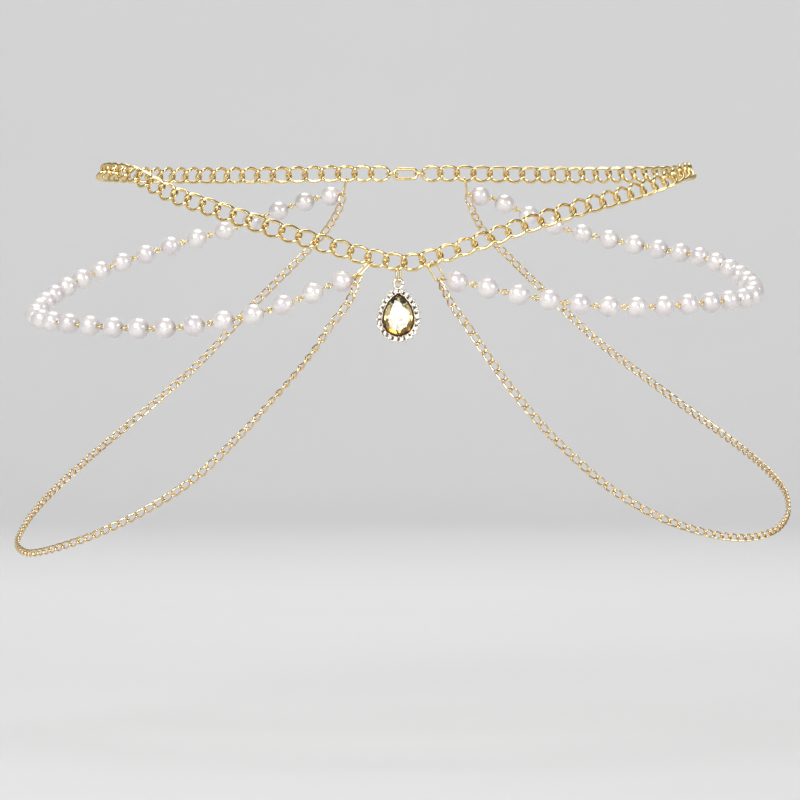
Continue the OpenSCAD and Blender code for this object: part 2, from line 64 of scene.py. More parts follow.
# The closest that two links can stand, the angle on a link where the next one crosses it, the room
# between their wires there, and how far the twist lifts the wire to leave that room
LINK_TIGHT = 2 * LINK_A - LINK_WIRE - LINK_PLAY
LINK_CROSS = math.acos(LINK_TIGHT / 2 / LINK_A)
CROSS_PLAY = 3.5 * LINK_PLAY
LINK_LIFT = (LINK_WIRE + CROSS_PLAY) / 2 / math.sin(2 * LINK_CROSS)


def stands_for(piece, node, body="chains"):
    """Lets a piece move with its body and show in place of a CAD node."""
    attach(piece, body)
    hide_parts(node)


def unit(v):
    return v / np.linalg.norm(v)


class Route:
    """A smooth line through a table of points in millimetres, measured by its length in metres."""

    def __init__(self, points):
        p = np.array(points, float)
        p[:, :3] *= MM
        rows = []
        for i in range(len(p) - 1):
            a, b, c, d = p[max(i - 1, 0)], p[i], p[i + 1], p[min(i + 2, len(p) - 1)]
            for t in np.arange(ROUTE_STEPS) / ROUTE_STEPS:
                bend = (2 * a - 5 * b + 4 * c - d) * t * t / 2 + (3 * b - a - 3 * c + d) * t ** 3 / 2
                rows.append(b + (c - a) * t / 2 + bend)
        self.rows = np.array(rows + [p[-1]])
        gaps = np.linalg.norm(np.diff(self.rows[:, :3], axis=0), axis=1)
        self.runs = np.concatenate([[0], np.cumsum(gaps)])
        self.length = self.runs[-1]

    def row(self, s):
        return np.array([np.interp(s, self.runs, column) for column in self.rows.T])

    def point(self, s):
        """The point at a distance along, carried on straight past either end."""
        inside = min(max(s, 0), self.length)
        ahead = min(inside + MM / 2, self.length)
        run = unit(self.row(ahead)[:3] - self.row(ahead - MM / 2)[:3])
        return self.row(inside)[:3] + (s - inside) * run

    def run(self, s, reach):
        return unit(self.point(s + reach) - self.point(s - reach))


class Flow:
    """What leaves one socket of a node tree. Sums, products and the like add their Math nodes."""

    def __init__(self, board, socket):
        self.board = board
        self.socket = socket

    def maths(self, operation, left, right):
        return self.board.node("ShaderNodeMath", {"operation": operation}, {0: left, 1: right})

    def __add__(self, other):
        return self.maths("ADD", self, other)

    def __radd__(self, other):
        return self.maths("ADD", other, self)

    def __sub__(self, other):
        return self.maths("SUBTRACT", self, other)

    def __rsub__(self, other):
        return self.maths("SUBTRACT", other, self)

    def __mul__(self, other):
        return self.maths("MULTIPLY", self, other)

    def __rmul__(self, other):
        return self.maths("MULTIPLY", other, self)


class Board:
    """A node tree that is being laid out, for a finish or for a row of like pieces."""

    def __init__(self, tree):
        self.tree = tree
        tree.nodes.clear()

    def node(self, kind, settings=None, sockets=None, out=0):
        """Adds a node: its settings first, then the values or flows of its sockets."""
        made = self.tree.nodes.new(kind)
        for name, value in (settings or {}).items():
            if name == "stops":
                first, *middle, last = value
                ramp = made.color_ramp.elements
                for element, (place, colour) in ((ramp[0], first), (ramp[1], last)):
                    element.position = place
                    element.color = (*colour, 1)
                for place, colour in middle:
                    ramp.new(place).color = (*colour, 1)
            else:
                setattr(made, name, value)
        for name, value in (sockets or {}).items():
            if isinstance(value, Flow):
                self.tree.links.new(value.socket, made.inputs[name])
            else:
                made.inputs[name].default_value = value
        return Flow(self, made.outputs[out]) if made.outputs else None


def finish_board(name):
    """A new material and its empty board."""
    material = bpy.data.materials.new(name)
    material.use_nodes = True
    return material, Board(material.node_tree)


def noise(board, size, detail=2, spread=0.5):
    """Soft patches about one size across, in metres, that stay with the piece."""
    place = board.node("ShaderNodeTexCoord", out="Object")
    settings = {"Vector": place, "Scale": 1 / size, "Detail": detail, "Roughness": spread}
    return board.node("ShaderNodeTexNoise", None, settings, "Fac")


PATCH_SIZE = 9 * MM
MARK_SIZE = 0.35 * MM
WAVE_SIZE = 1.6 * MM
WAVE_DEPTH = 0.05 * MM


def plated(name, bright, deep, rough, dents):
    """Polished plating in two close tones, with faint handling marks and a slightly uneven surface."""
    material, board = finish_board(name)
    patches = noise(board, PATCH_SIZE, 3)
    marks = noise(board, MARK_SIZE, 4, 0.7)
    tone = board.node("ShaderNodeMix", {"data_type": "RGBA"},
                      {0: patches, 6: (*bright, 1), 7: (*deep, 1)}, 2)
    height = noise(board, WAVE_SIZE, 2) * 0.8 + marks * 0.2
    normal = board.node("ShaderNodeBump", None,
                        {"Strength": dents, "Distance": WAVE_DEPTH, "Height": height})
    skin = board.node("ShaderNodeBsdfPrincipled", None, {
        "Base Color": tone, "Metallic": 1.0, "Roughness": rough + marks * 0.1, "Normal": normal,
        "Coat Weight": 0.15, "Coat Roughness": 0.08})
    board.node("ShaderNodeOutputMaterial", None, {"Surface": skin})
    return material


def node_group(name, inputs):
    """A geometry tree with named inputs, as its board and what flows out of each input."""
    group = bpy.data.node_groups.new(name, "GeometryNodeTree")
    group.interface.new_socket("Geometry", in_out="INPUT", socket_type="NodeSocketGeometry")
    group.interface.new_socket("Geometry", in_out="OUTPUT", socket_type="NodeSocketGeometry")
    for label, kind in inputs.items():
        group.interface.new_socket(label, in_out="INPUT", socket_type="NodeSocket" + kind)
    board = Board(group)
    given = group.nodes.new("NodeGroupInput")
    return board, {socket.name: Flow(board, socket) for socket in given.outputs}


def end_group(board, instances, material):
    """Turns the instances into one plain mesh with its finish."""
    real = board.node("GeometryNodeRealizeInstances", None, {0: instances})
    done = board.node("GeometryNodeSetMaterial", None, {"Geometry": real, "Material": material})
    board.node("NodeGroupOutput", None, {0: done})


def axes_from_points(board):
    """Turns a piece so that its X runs along and its Z out, as the point that carries it says."""
    along, out = [board.node("GeometryNodeInputNamedAttribute", {"data_type": "FLOAT_VECTOR"},
                             {"Name": label}) for label in ("along", "out")]
    return board.node("FunctionNodeAxesToRotation", {"primary_axis": "Z", "secondary_axis": "X"},
                      {0: out, 1: along})


def wire_link_tree():
    """Twisted oval wire links, one at each point."""
    board, given = node_group("Twisted wire links", {
        "Half Length": "Float", "Half Width": "Float", "Lift": "Float", "Wire": "Float",
        "Steps": "Int", "Sides": "Int", "Finish": "Material"})
    circle = board.node("GeometryNodeCurvePrimitiveCircle", None,
                        {"Resolution": given["Steps"], "Radius": 1.0})
    place = board.node("GeometryNodeInputPosition")
    x = board.node("ShaderNodeSeparateXYZ", None, {0: place}, "X")
    y = board.node("ShaderNodeSeparateXYZ", None, {0: place}, "Y")
    oval = board.node("ShaderNodeCombineXYZ", None, {
        "X": x * given["Half Length"], "Y": y * given["Half Width"],
        "Z": x * y * given["Lift"] * -2})
    line = board.node("GeometryNodeSetPosition", None, {"Geometry": circle, "Position": oval})
    section = board.node("GeometryNodeCurvePrimitiveCircle", None,
                         {"Resolution": given["Sides"], "Radius": given["Wire"] * 0.5})
    link = board.node("GeometryNodeCurveToMesh", None, {"Curve": line, "Profile Curve": section})
    instances = board.node("GeometryNodeInstanceOnPoints", None, {
        "Points": given["Geometry"], "Instance": link, "Rotation": axes_from_points(board)})
    end_group(board, instances, given["Finish"])
    return board.tree


def place_points(name, places):
    """Loose points, each with the way along its piece and the way out of it."""
    mesh = bpy.data.meshes.new(name)
    mesh.from_pydata([tuple(place) for place, along, out in places], [], [])
    for column, label in ((1, "along"), (2, "out")):
        values = mesh.attributes.new(label, "FLOAT_VECTOR", "POINT")
        values.data.foreach_set("vector", np.array([row[column] for row in places]).ravel())
    return mesh


def grown(name, places, tree, values):
    """The plain mesh piece that a tree makes from a table of places."""
    piece = bpy.data.objects.new(name, place_points(name, places))
    scene.collection.objects.link(piece)
    modifier = piece.modifiers.new("Grow", "NODES")
    modifier.node_group = tree
    for item in tree.interface.items_tree:
        if item.in_out == "INPUT" and item.name in values:
            modifier[item.identifier] = values[item.name]
    ready = piece.evaluated_get(bpy.context.evaluated_depsgraph_get())
    mesh = bpy.data.meshes.new_from_object(ready)
    mesh.name = name
    piece.modifiers.remove(modifier)
    piece.data = mesh
    mesh.shade_smooth()
    return piece


main_line = Route(MAIN_ROUTE)
LINK_PITCH = (main_line.length - 2 * CLASP_REACH) / (LINK_COUNT - 1)
UP = np.array([0.0, 0.0, 1.0])


def link_frame(i):
    """Centre of a main link, the way along it, across it and out of it."""
    s = CLASP_REACH + i * LINK_PITCH
    lean = math.radians(main_line.row(s)[3])
    along = main_line.run(s, LINK_PITCH / 2)
    level = unit(np.cross(along, UP))
    out = math.cos(lean) * level + math.sin(lean) * np.cross(level, along)
    return main_line.row(s)[:3], along, np.cross(out, along), out


main_gold = plated("Yellow gold plating", (0.96, 0.79, 0.42), (0.78, 0.56, 0.22), 0.13, 0.35)
wire_links = wire_link_tree()
main_places = [(place, along, out) for place, along, across, out in map(link_frame, range(LINK_COUNT))]
main_chain = grown("main_chain_links", main_places, wire_links, {
    "Half Length": LINK_A, "Half Width": LINK_B, "Lift": LINK_LIFT, "Wire": LINK_WIRE,
    "Steps": 36, "Sides": 12, "Finish": main_gold})
stands_for(main_chain, "main_chain")

# Clasp and its two round rings: plain pieces of the same plated brass at the middle of the back,
# which the photograph doesn't show. The rings join the clasp to the first and the last link.
CLASP_L = 13 * MM
CLASP_HALF = 5.7 * MM
CLASP_W = 6.4 * MM
CLASP_RIM = 1.6 * MM
CLASP_RING_WIRE = 1.1 * MM
CLASP_RING_R = 2.65 * MM
RING_PLAY = 0.15 * MM
RIM_HOLD = (CLASP_RIM + CLASP_RING_WIRE) / 2 + RING_PLAY
CLASP_HOLD = (LINK_WIRE + CLASP_RING_WIRE) / 2 + 2 * RING_PLAY
Y_WAY = np.array([0.0, 1.0, 0.0])


def square_to(v, run):
    """The part of a direction that is square to a run, one long."""
    return unit(v - np.dot(v, run) * run)


def bent_wire(path, normal, wire, sides=16):
    """Corners and faces of a round wire bent into a closed flat loop."""
    corners = []
    for i, place in enumerate(path):
        run = unit(path[(i + 1) % len(path)] - path[i - 1])
        side = np.cross(run, normal)
        for angle in np.arange(sides) * 2 * math.pi / sides:
            corners.append(place + wire / 2 * (math.cos(angle) * side + math.sin(angle) * normal))
    faces = [(i * sides + j, (i + 1) % len(path) * sides + j,
              (i + 1) % len(path) * sides + (j + 1) % sides, i * sides + (j + 1) % sides)
             for i in range(len(path)) for j in range(sides)]
    return corners, faces


def long_loop(start, along, across, length, r, steps=28):
    """Points round a loop with two straight sides: its round ends are centred length apart."""
    path = []
    for angle in np.arange(2 * steps) * math.pi / steps:
        turn = angle - math.pi / 2 + math.pi / steps / 2
        shift = length if math.cos(turn) > 0 else 0
        path.append(start + (shift + r * math.cos(turn)) * along + r * math.sin(turn) * across)
    return path


def together(parts):
    """The corners and faces of several parts in one list of each."""
    corners, faces = [], []
    for more, sides in parts:
        faces += [tuple(len(corners) + k for k in face) for face in sides]
        corners += [tuple(corner) for corner in more]
    return corners, faces


def faceted(name, parts, *materials):
    """One mesh piece with flat faces, which point outwards as those of its parts do."""
    mesh = bpy.data.meshes.new(name)
    corners, faces = together(parts)
    mesh.from_pydata(corners, [], faces)
    for material in materials:
        mesh.materials.append(material)
    piece = bpy.data.objects.new(name, mesh)
    scene.collection.objects.link(piece)
    return piece


def solid(name, parts, material):
    """One mesh piece with smooth faces."""
    piece = faceted(name, parts, material)
    piece.data.shade_smooth()
    return piece


clasp_at = main_line.point(0)
clasp_along = unit(main_line.point(CLASP_HALF) - main_line.point(main_line.length - CLASP_HALF))
clasp_out = square_to(Y_WAY, clasp_along)
clasp_across = np.cross(clasp_out, clasp_along)
clasp_loop = long_loop(clasp_at - (CLASP_L - CLASP_W) / 2 * clasp_along, clasp_along, clasp_across,
                       CLASP_L - CLASP_W, (CLASP_W - CLASP_RIM) / 2)
clasp = solid("clasp_body", [bent_wire(clasp_loop, clasp_out, CLASP_RIM)], main_gold)
stands_for(clasp, "clasp")

for label, side, link in (("left", 1, 0), ("right", -1, LINK_COUNT - 1)):
    place, link_along = link_frame(link)[:2]
    rim = clasp_at + side * (CLASP_HALF - RIM_HOLD) * clasp_along
    link_end = place - side * (LINK_A - CLASP_HOLD) * link_along
    along = unit(link_end - rim)
    out = square_to(clasp_out, along)
    round_loop = long_loop((rim + link_end) / 2, along, out, 0, CLASP_RING_R)
    round_wire = bent_wire(round_loop, np.cross(along, out), CLASP_RING_WIRE)
    ring = solid("round_ring_" + label, [round_wire], main_gold)
    stands_for(ring, "clasp_ring_" + label)

# Four long jump rings of plated brass wire. Each one hangs from a main link and holds the end of a
# string of pearls and the end of a fine chain.
RING_WIRE = 0.9 * MM
RING_R = 2.3 * MM
RING_SPAN = 5.4 * MM
RING_SEAT = (LINK_WIRE + RING_WIRE) / 2 + 4 * RING_PLAY
FRONT_LINK = 45


def link_point(i, degrees):
    """A point of a main link's wire, by its angle round the link."""
    t = math.radians(degrees)
    place, along, across, out = link_frame(i)
    lift = -LINK_LIFT * math.sin(2 * t)
    return place + LINK_A * math.cos(t) * along + LINK_B * math.sin(t) * across + lift * out


class JumpRing:
    """A long ring: the main link and the angle on it that carry it, and the ways it hangs and is wide."""

    def __init__(self, link, degrees, hang, spread):
        self.hang = unit(np.array(hang, float))
        self.spread = square_to(np.array(spread, float), self.hang)
        self.top = link_point(link, degrees) + (RING_R - RING_SEAT) * self.hang

    def foot(self, degrees):
        """Place and direction of its wire, by the angle from the middle of its lower end."""
        t = math.radians(degrees)
        down = (RING_SPAN + RING_R * math.cos(t)) * self.hang
        run = math.cos(t) * self.spread - math.sin(t) * self.hang
        return self.top + down + RING_R * math.sin(t) * self.spread, run


jump_rings = {
    "front_ring_left": JumpRing(FRONT_LINK - 1, -130, [-0.68, 0, -0.73], [0.27, -0.93, -0.22]),
    "front_ring_right": JumpRing(FRONT_LINK + 2, -96, [0.5, 0.25, -0.82], [0.7, 0.4, 0.55]),
    "back_ring_left": JumpRing(2, -90, [-0.2, 0.35, -0.9], [0, 0.93, 0.36]),
    "back_ring_right": JumpRing(LINK_COUNT - 3, -90, [0.2, 0.35, -0.9], [0, 0.93, 0.36])}
for label, jump in jump_rings.items():
    loop = long_loop(jump.top, jump.hang, jump.spread, RING_SPAN, RING_R)
    ring_wire = bent_wire(loop, np.cross(jump.hang, jump.spread), RING_WIRE)
    ring = solid(label + "_wire", [ring_wire], main_gold)
    stands_for(ring, label)

# Two strings of pearls: plastic pearls with a thick pearly coat, drilled through and a little
# uneven. They hang from the jump rings in a festoon at each side.
PEARL_R = 4.95 * MM
PEARL_BORE_R = 0.55 * MM
PEARL_ROWS = 23
PEARL_STEPS = 36
PEARL_LEAST = 0.975
RIM_DEPTH = 0.12 * MM
RIM_SOFTNESS = 1.35
PEARL_STEP_MIN = 14.34 * MM
STRAND_OVER = 0.53 * MM
PEARL_ROUTES = {
    "left": [
        [-34.5, -93, -55.5], [-49, -93.5, -62], [-63, -91, -66.8],
        [-83, -85.5, -70.8], [-103, -78, -73.2], [-125.5, -65, -73], [-145, -50, -71.3],
        [-158.5, -35, -69.7], [-168, -16, -67.7], [-172, 6, -65.5], [-171, 28, -61],
        [-166, 52, -54.5], [-155, 76, -46.5], [-136, 97, -37.5], [-111, 112, -28.5],
        [-84, 119, -20.5], [-59, 118.5, -11], [-44, 113, -6]],
    "right": [
        [33, -93, -54], [48, -93.5, -57.5], [69.5, -89, -61.2],
        [90, -82.5, -63.4], [110.5, -73, -63.6], [130, -61, -62.2], [148, -44, -60.2],
        [159, -28, -58.6], [165, -10, -56.5], [167, 10, -52.5], [165, 32, -48],
        [159, 56, -42], [147, 79, -35.5], [129, 100, -31.5], [105, 115.5, -26],
        [80, 122.5, -20], [60.5, 119.5, -12], [47, 112.5, -6]]}
PEARL_TURNS = {"left": (-10, 45), "right": (30, 45)}


class Strand:
    """A line from a foot of a front ring to a foot of a back ring, with the rings' ways at its ends."""

    def __init__(self, label, route, turns):
        front, self.front_way = jump_rings["front_ring_" + label].foot(turns[0])
        back, self.back_way = jump_rings["back_ring_" + label].foot(turns[1])
        self.line = Route([list(front / MM), *route, list(back / MM)])

    def pearl_ends(self):
        """The points where neighbouring pearls' eyes hold each other, from ring to ring."""
        reach = self.line.length + 2 * STRAND_OVER
        count = int(reach / PEARL_STEP_MIN)
        return [self.line.point(-STRAND_OVER + i * reach / count) for i in range(count + 1)]


def placed_tree():
    """One piece set at each point, each a little different in size and turned about its own run."""
    board, given = node_group("Pieces along a line", {
        "Piece": "Object", "Least Size": "Float", "Seed": "Int", "Finish": "Material"})
    piece = board.node("GeometryNodeObjectInfo", None, {"Object": given["Piece"]}, "Geometry")
    size = board.node("FunctionNodeRandomValue", {"data_type": "FLOAT"},
                      {2: given["Least Size"], 3: 1.0, "Seed": given["Seed"]}, 1)
    instances = board.node("GeometryNodeInstanceOnPoints", None, {
        "Points": given["Geometry"], "Instance": piece, "Rotation": axes_from_points(board),
        "Scale": size})
    end_group(board, instances, given["Finish"])
    return board.tree


def turned(profile, steps, closed=False):
    """Corners and faces of a piece turned about X from rows of place along X and radius."""
    corners = [(x, r * math.cos(a), r * math.sin(a)) for x, r in profile
               for a in np.arange(steps) * 2 * math.pi / steps]
    rows = len(profile)
    faces = [(i * steps + j, i * steps + (j + 1) % steps, (i + 1) % rows * steps + (j + 1) % steps,
              (i + 1) % rows * steps + j)
             for i in range(rows if closed else rows - 1) for j in range(steps)]
    if not closed:
        faces += [tuple(reversed(range(steps))), tuple(range((rows - 1) * steps, rows * steps))]
    return corners, faces


CAST_SIZE = 7 * MM
UNEVEN_SIZE = 3.5 * MM
UNEVEN_DEPTH = 0.12 * MM
SHEEN_SIZE = 2 * MM
GRAIN_SIZE = 0.5 * MM


def pearl_finish():
    """Warm white with a faint pink and lilac cast, a pearly coat, and a softly uneven surface."""
    lilac, rose, cream = (0.71, 0.65, 0.68), (0.79, 0.75, 0.74), (0.86, 0.83, 0.79)
    material, board = finish_board("Pearl coat")
    cast = board.node("ShaderNodeValToRGB", {"stops": [(0.30, lilac), (0.5, rose), (0.72, cream)]},
                      {"Fac": noise(board, CAST_SIZE, 2)})
    uneven = noise(board, UNEVEN_SIZE, 2) + noise(board, GRAIN_SIZE, 2) * 0.06
    normal = board.node("ShaderNodeBump", None,
                        {"Strength": 0.25, "Distance": UNEVEN_DEPTH, "Height": uneven})
    skin = board.node("ShaderNodeBsdfPrincipled", None, {
        "Base Color": cast, "Metallic": 0.3, "Roughness": 0.27 + noise(board, SHEEN_SIZE, 2) * 0.08,
        "Normal": normal, "Specular IOR Level": 0.6, "Specular Tint": (1.0, 0.93, 0.95, 1),
        "Coat Weight": 0.7, "Coat Roughness": 0.1, "Coat IOR": 1.6})
    board.node("ShaderNodeOutputMaterial", None, {"Surface": skin})
    return material


def pattern(name, parts):
    """A piece that others are copied from. It goes when they are made."""
    return solid(name, parts, main_gold)


placed = placed_tree()
pearl_coat = pearl_finish()
rim_angle = math.asin(PEARL_BORE_R / PEARL_R)
soft_rim = rim_angle * RIM_SOFTNESS
pearl_rows = [(-PEARL_R * math.cos(a), PEARL_R * math.sin(a))
              for a in np.linspace(soft_rim, math.pi - soft_rim, PEARL_ROWS)]
half_bore = PEARL_R * math.cos(rim_angle) - RIM_DEPTH
pearl_rows += [(half_bore, PEARL_BORE_R), (-half_bore, PEARL_BORE_R)]
pearl_pattern = pattern("pearl_pattern", [turned(pearl_rows, PEARL_STEPS, closed=True)])
strands = {side: Strand(side, PEARL_ROUTES[side], PEARL_TURNS[side]) for side in ("left", "right")}
for seed, (side, strand) in enumerate(strands.items(), 1):
    ends = strand.pearl_ends()
    places = []
    for a, b in zip(ends, ends[1:]):
        run = unit(b - a)
        places.append(((a + b) / 2, run, unit(np.cross(run, UP))))
    pearls = grown("pearl_string_" + side, places, placed, {
        "Piece": pearl_pattern, "Least Size": PEARL_LEAST, "Seed": seed, "Finish": pearl_coat})
    stands_for(pearls, "pearls_" + side)
bpy.data.objects.remove(pearl_pattern)

# Eye pins: thin wires of pale champagne gold through the pearls, each bent into a round eye at
# both ends. The eyes of two neighbours hold each other, one face on and the next edge on.
PIN_WIRE = 0.7 * MM
PIN_SHAFT = 0.6 * MM
EYE_R = 1.1 * MM
EYE_HOLD = 1.34 * MM
X_WAY = np.array([1.0, 0.0, 0.0])


def joined(label, pieces):
    """Joins pieces into one that has the finish of the first."""
    finish = pieces[0].data.materials[0]
    parts = [([tuple(corner.co) for corner in piece.data.vertices],
              [tuple(face.vertices) for face in piece.data.polygons]) for piece in pieces]
    for piece in pieces:
        bpy.data.objects.remove(piece)
    return solid(label, parts, finish)


pin_gold = plated("Champagne gold pins", (1.0, 0.88, 0.66), (0.90, 0.72, 0.48), 0.14, 0.3)
eye_loop = long_loop(np.zeros(3), X_WAY, Y_WAY, 0, EYE_R, 12)
eye_pattern = pattern("eye_pattern", [bent_wire(eye_loop, UP, PIN_WIRE, 10)])
for side, strand in strands.items():
    ends = strand.pearl_ends()
    eyes, shafts = [], []
    for i, (a, b) in enumerate(zip(ends, ends[1:])):
        run = unit(b - a)
        level = unit(np.cross(run, UP))
        rise = np.cross(run, level)
        near, far = (rise, level) if side == "left" else (level, rise)
        near = square_to(strand.front_way, run) if i == 0 else near
        far = square_to(strand.back_way, run) if i == len(ends) - 2 else far
        eyes += [(a + EYE_HOLD / 2 * run, run, near), (b - EYE_HOLD / 2 * run, run, far)]
        shafts.append(((a + b) / 2, run, level))
    half = np.linalg.norm(ends[2] - ends[1]) / 2 - EYE_HOLD / 2 - EYE_R
    shaft_rows = [(-half, PIN_SHAFT / 2), (half, PIN_SHAFT / 2)]
    shaft_pattern = pattern("shaft_pattern", [turned(shaft_rows, 10)])
    settings = {"Least Size": 1.0, "Seed": 0, "Finish": pin_gold}
    made = [grown("pin_eyes_" + side, eyes, placed, {"Piece": eye_pattern, **settings}),
            grown("pin_shafts_" + side, shafts, placed, {"Piece": shaft_pattern, **settings})]
    bpy.data.objects.remove(shaft_pattern)
    stands_for(joined("eye_pins_" + side, made), "pearl_pins_" + side)
bpy.data.objects.remove(eye_pattern)

# Two fine curb chains of thinner brass wire in a slightly redder gold. They hang from the jump
# rings, hang low at each side and rise to the back.
FINE_WIRE = 0.9 * MM
FINE_A = 3.05 * MM
FINE_B = 1.5 * MM
FINE_LIFT = 0.78 * MM
FINE_PITCH_MOST = 5.1 * MM
FINE_FIRST = 1.6 * MM
TURN_IN = 7
EDGE_ON = {"left": 10, "right": 0}
EDGE_TILT = math.radians(65)
ROUND_A = 180 * MM
ROUND_B = 128 * MM
ROUND_Y = 10 * MM
DRAPE_TURNS = {"left": (45, -18), "right": (-30, -18)}
DRAPE_ROUTES = {
    "left": [
        [-21, -95.5, -57.5], [-25, -97.8, -65], [-31, -97.5, -72.5],
        [-38, -98, -83], [-48, -98.8, -95.6], [-59, -98.5, -108], [-70, -97, -120],
        [-91, -92.5, -140], [-113, -85, -154.5], [-135.5, -72.5, -165.6], [-156, -55, -173],
        [-171, -34, -176.4], [-179, -8, -173.5], [-179.5, 20, -167.5], [-175, 48, -158],
        [-164, 75, -145], [-146, 99, -128], [-122, 117, -107], [-97, 127, -84],
        [-75, 130, -60], [-55, 127, -40], [-38, 117.5, -23], [-30.5, 107.5, -12]],
    "right": [
        [20.5, -94.5, -58], [24.5, -97.8, -65], [31, -97.5, -74],
        [38, -98, -84.5], [48, -98.8, -98.5], [59, -98.5, -112], [70, -97, -124],
        [91, -92.5, -142.8], [113, -85, -156.6], [135.5, -72.8, -164.9], [156, -56, -168.4],
        [172, -36, -166], [180.5, -14, -159], [182, 12, -150], [178, 42, -141.5],
        [167, 71, -130], [149, 96, -115.5], [125, 115, -97], [99, 126, -76.5],
        [76, 129, -55], [58, 126, -38], [42, 117, -22], [36, 106.8, -12]]}


def eased_way(strand, s, along, i, count, edge_on):
    """The way out of a fine link: away from the middle, and the ring's own way at either end."""
    x, y, z = strand.line.point(s)
    away = square_to(np.array([x / ROUND_A ** 2, (y - ROUND_Y) / ROUND_B ** 2, 0]), along)
    if i < 2 * edge_on:
        tilt = EDGE_TILT * math.sin(math.pi * i / (2 * edge_on))
        away = math.cos(tilt) * away + math.sin(tilt) * np.cross(along, away)
    for way, steps in ((strand.front_way, i), (strand.back_way, count - 1 - i)):
        if steps < TURN_IN:
            start = square_to(way, along)
            start = start if np.dot(start, away) > 0 else -start
            share = steps / TURN_IN
            return square_to(start * (1 - share) + away * share, along)
    return away


fine_gold = plated("Rose-tinged gold plating", (0.94, 0.76, 0.46), (0.78, 0.55, 0.27), 0.14, 0.3)
for side, route in DRAPE_ROUTES.items():
    strand = Strand(side, route, DRAPE_TURNS[side])
    reach = strand.line.length - 2 * FINE_FIRST
    count = 1 + math.ceil(reach / FINE_PITCH_MOST)
    places = []
    for i in range(count):
        s = FINE_FIRST + i * reach / (count - 1)
        along = strand.line.run(s, FINE_A)
        out = eased_way(strand, s, along, i, count, EDGE_ON[side])
        places.append((strand.line.point(s), along, out))
    fine_chain = grown("fine_chain_" + side, places, wire_links, {
        "Half Length": FINE_A, "Half Width": FINE_B, "Lift": FINE_LIFT, "Wire": FINE_WIRE,
        "Steps": 16, "Sides": 6, "Finish": fine_gold})
    stands_for(fine_chain, "drape_chain_" + side)

# Bail: a long ring of the same wire as the jump rings. It swings on the lower wire of the front
# link and carries the pendant's own ring.
BAIL_R = 2 * MM
BAIL_DROP = 5.9 * MM
BAIL_SEAT = 0.4 * MM
BAIL_TURN = math.radians(25)
BAIL_DEGREES = -68
bail_top = link_point(FRONT_LINK, BAIL_DEGREES)
bail_foot = bail_top - BAIL_DROP * UP
bail_along = np.array([math.cos(BAIL_TURN), -math.sin(BAIL_TURN), 0])
bail_loop = long_loop(bail_top - BAIL_SEAT * UP, -UP, np.cross(bail_along, -UP),
                      BAIL_DROP - BAIL_SEAT - BAIL_R, BAIL_R)
bail = solid("bail_wire", [bent_wire(bail_loop, bail_along, RING_WIRE)], main_gold)
stands_for(bail, "bail", "bail")

# Setting of the pendant: a pear-shaped frame cast in pale gold, with a collet under each small
# stone, prongs between the stones at both edges, and a round ring soldered on its tip.
STONE_R = 6.6 * MM
STONE_H = 11.3 * MM
STONE_TIP_R = 0.35 * MM
HALO_GAP = 0.6 * MM
HALO_W = 2.6 * MM
HALO_MID = HALO_GAP + HALO_W / 2
HALO_T = 1.4 * MM
HALO_TOP = -0.2 * MM
HALO_BOTTOM = HALO_TOP - HALO_T
HALO_COUNT = 22
PRONG_R = 0.40 * MM
PRONG_H = 0.75 * MM
PRONG_INSET = 0.14 * MM
PRONG_LEAN = 12
TIP_PRONG = HALO_COUNT // 2
BEAD_R = 0.3 * MM
LOOP_WIRE = 1.35 * MM
LOOP_R = 2.025 * MM
LOOP_Y = 16.4 * MM
ARC_R = (STONE_H ** 2 + STONE_R ** 2 - STONE_TIP_R ** 2) / 2 / (STONE_R - STONE_TIP_R)
ARC_SHIFT = ARC_R - STONE_R
TIP_ANGLE = math.atan2(STONE_H, ARC_SHIFT)
pendant_z = HALO_TOP - HALO_T / 2
pendant_at = bail_foot - (LOOP_Y + LOOP_R - (LOOP_WIRE + RING_WIRE) / 2 - 2 * RING_PLAY) * UP


def in_pendant(x, y, z):
    """A point of the pendant, given as it lies face up, where it hangs face front."""
    return pendant_at + np.array([x, pendant_z - z, y])


def pear_point(phi, off):
    """The point of the pear outline whose normal has this angle, at a distance outside the stone."""
    if phi < 0 or phi > math.pi:
        x, y, r = 0, 0, STONE_R
    elif phi < TIP_ANGLE:
        x, y, r = -ARC_SHIFT, 0, ARC_R
    elif phi < math.pi - TIP_ANGLE:
        x, y, r = 0, STONE_H, STONE_TIP_R
    else:
        x, y, r = ARC_SHIFT, 0, ARC_R
    return x + (r + off) * math.cos(phi), y + (r + off) * math.sin(phi)


def pear_angle(share, off=HALO_MID):
    """The normal's angle at a share of the way round the outline, from the foot to the tip and back."""
    low = (STONE_R + off) * math.pi / 2
    arc = (ARC_R + off) * TIP_ANGLE
    tip = (STONE_TIP_R + off) * (math.pi - 2 * TIP_ANGLE)
    way = share * (2 * low + 2 * arc + tip)
    if way < low:
        return way / (STONE_R + off) - math.pi / 2
    if way < low + arc:
        return (way - low) / (ARC_R + off)
    if way < low + arc + tip:
        return TIP_ANGLE + (way - low - arc) / (STONE_TIP_R + off)
    if way < low + 2 * arc + tip:
        return math.pi - TIP_ANGLE + (way - low - arc - tip) / (ARC_R + off)
    return math.pi + (way - low - 2 * arc - tip) / (STONE_R + off)


def pear_moulding(profile, steps=132):
    """A closed profile of distance outside the stone and height, run round the pear outline."""
    corners = []
    for i in range(steps):
        phi = pear_angle(i / steps)
        for off, z in profile:
            corners.append(in_pendant(*pear_point(phi, off), z))
    rows = len(profile)
    faces = [(i * rows + j, (i + 1) % steps * rows + j,
              (i + 1) % steps * rows + (j + 1) % rows, i * rows + (j + 1) % rows)
             for i in range(steps) for j in range(rows)]
    return corners, faces


FRONT = -Y_WAY


